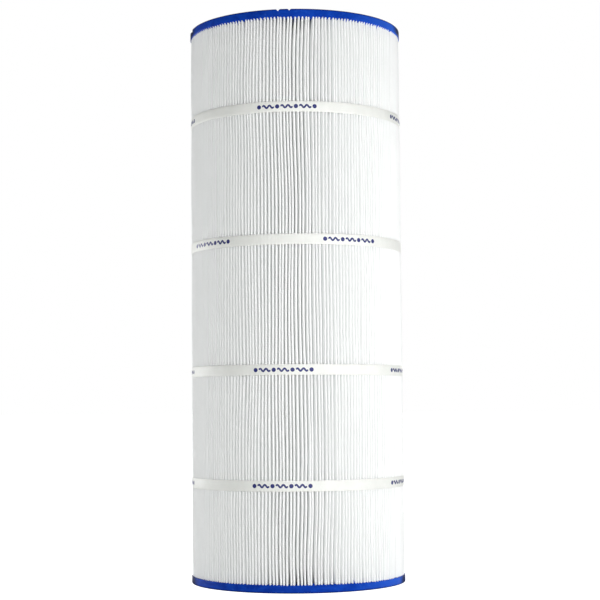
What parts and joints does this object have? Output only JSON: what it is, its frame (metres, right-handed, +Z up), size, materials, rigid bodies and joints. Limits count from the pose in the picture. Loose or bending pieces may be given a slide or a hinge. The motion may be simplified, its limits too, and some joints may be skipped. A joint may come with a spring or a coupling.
{
  "type": "filter cartridge",
  "caption": "Tall pleated cloth filter cylinder with soft blue end caps, a slotted inner core, white straps round the pleats and an open bore.",
  "frame": {"origin": "centre of the lower end cap's foot, on the cartridge's axis", "axes": "+Z up along the cartridge's axis; -Y is the front, and the cloth's seam is at the back"},
  "size_m": [0.2286, 0.2286, 0.594],
  "materials": {
    "blue_urethane": "satin cast urethane",
    "polyester_cloth": "matt spunbonded cloth",
    "polyester_strap": "soft woven tape with a printed mark",
    "white_plastic": "moulded satin",
    "seam_adhesive": "set hot-melt adhesive"
  },
  "bodies": {
    "root": {"top_end_cap": "blue_urethane", "bottom_end_cap": "blue_urethane", "pleated_media": "polyester_cloth", "media_seam_strip": "seam_adhesive", "band_upper": "polyester_strap", "band_upper_middle": "polyester_strap", "band_lower_middle": "polyester_strap", "band_lower": "polyester_strap", "core_section_1": "white_plastic", "core_section_2": "white_plastic", "core_section_3": "white_plastic", "core_section_4": "white_plastic", "core_section_5": "white_plastic"}
  },
  "joints": []
}
